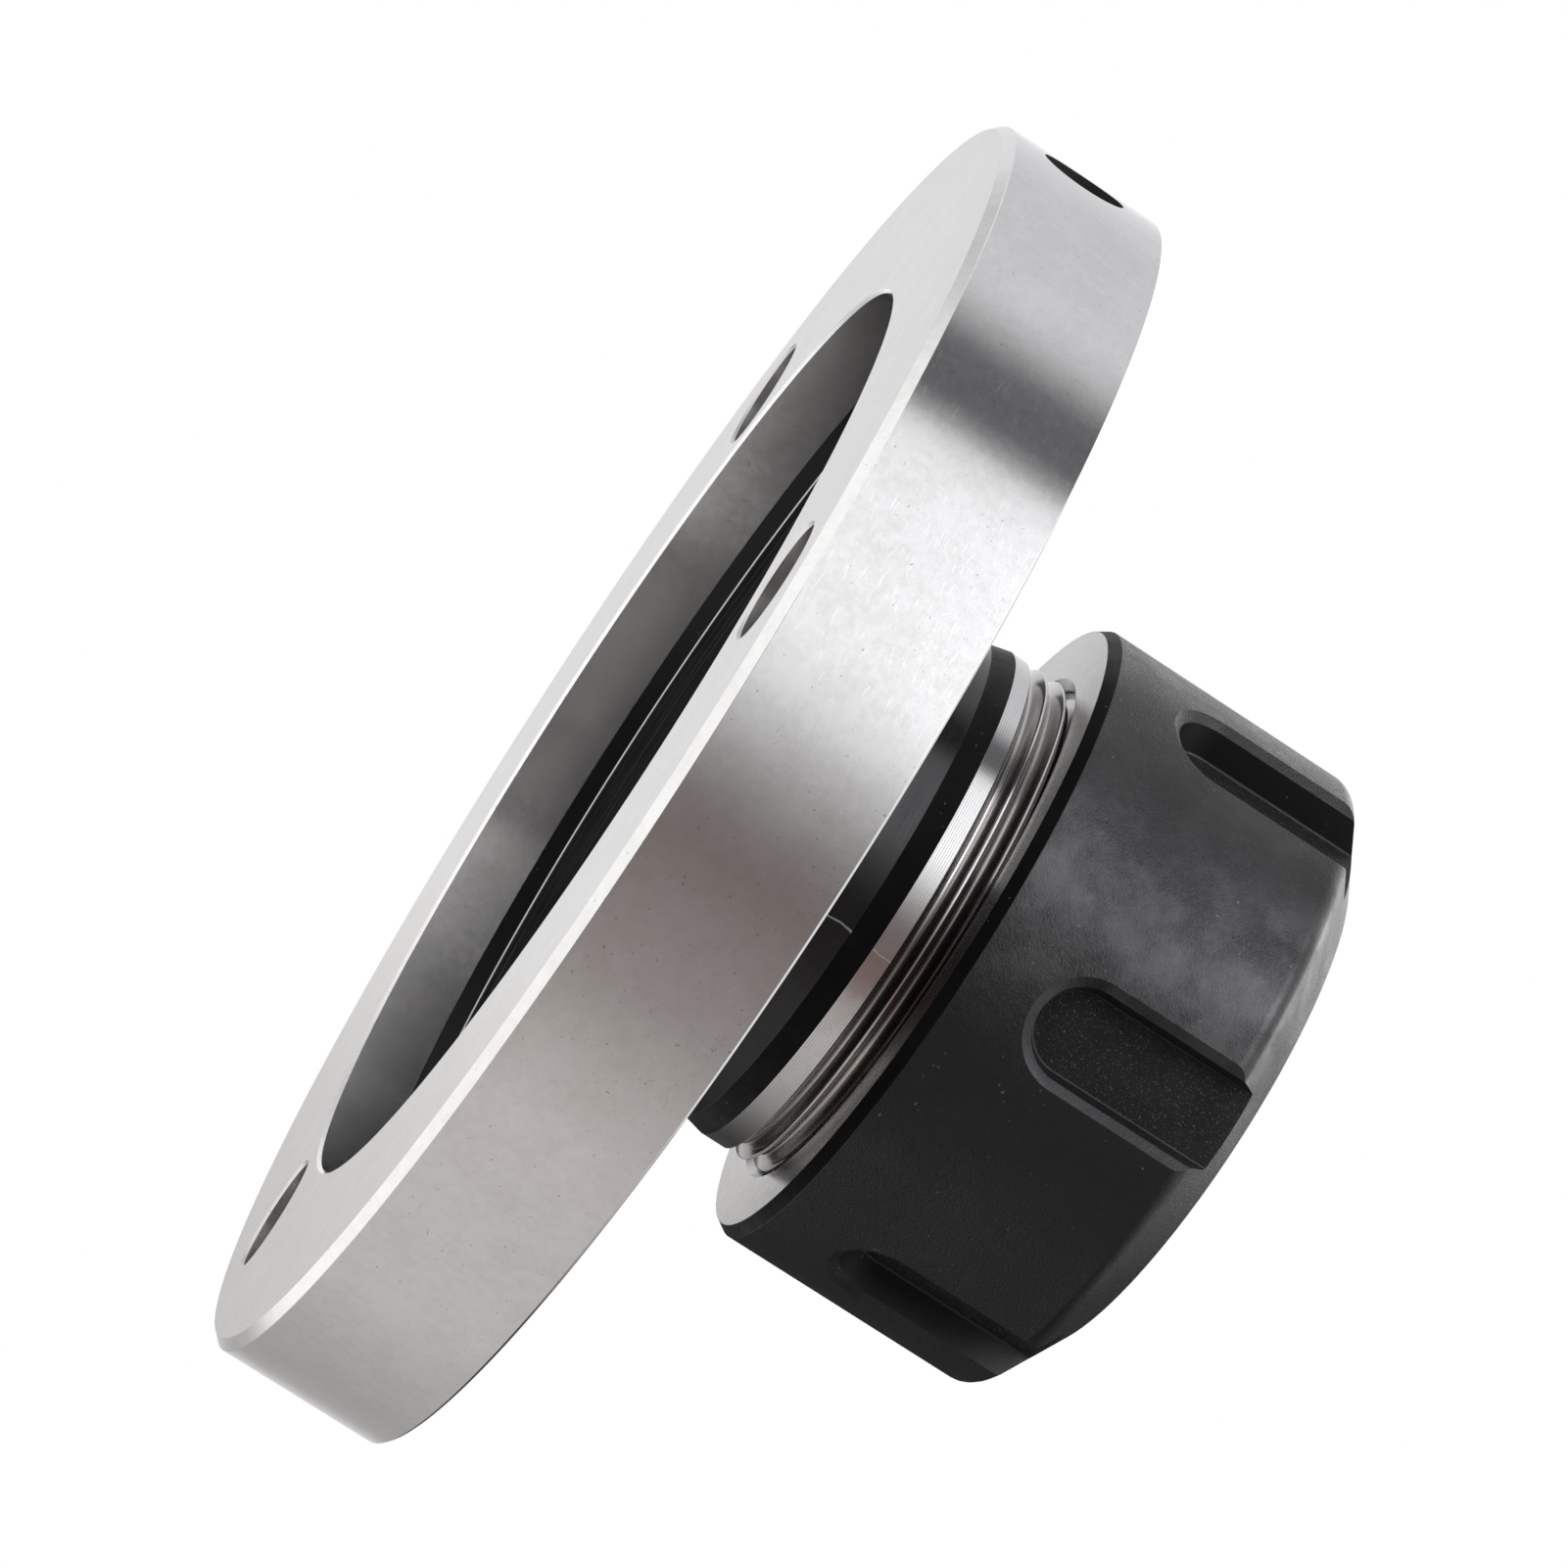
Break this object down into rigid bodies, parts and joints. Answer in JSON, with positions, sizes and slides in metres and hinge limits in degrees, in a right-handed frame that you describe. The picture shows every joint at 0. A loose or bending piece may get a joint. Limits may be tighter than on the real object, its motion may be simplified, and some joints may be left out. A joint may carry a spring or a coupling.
{
  "type": "collet chuck",
  "caption": "Flange-mounted collet chuck: recessed round flange with bolt holes, threaded nose, slotted clamping nut and slit spring collet.",
  "frame": {"origin": "centre of the flange's back face, on the spindle axis", "axes": "+Z along the spindle axis from the back face towards the nut; +X out through the bar hole in the flange's rim"},
  "size_m": [0.1, 0.1, 0.0494],
  "materials": {
    "ground_steel": "turned and ground, bare",
    "black_steel": "black phosphate, ground back face",
    "spring_steel": "ground, bare"
  },
  "bodies": {
    "chuck": {"chuck_body": "ground_steel"},
    "collet_group": {"collet": "spring_steel"},
    "nut": {"clamping_nut": "black_steel"}
  },
  "joints": [
    {"name": "collet_draw", "type": "slide", "parent": "chuck", "child": "collet_group", "axis": [0, 0, 1], "range_m": [0, 0.015]},
    {"name": "nut_turn", "type": "hinge", "parent": "collet_group", "child": "nut", "pos_m": [0, 0, 0.037], "axis": [0, 0, 1], "range_deg": [0, 3600]}
  ],
  "couplings": [
    {"joint": "collet_draw", "follows": "nut_turn", "m_per_rad": 0.00023873}
  ]
}
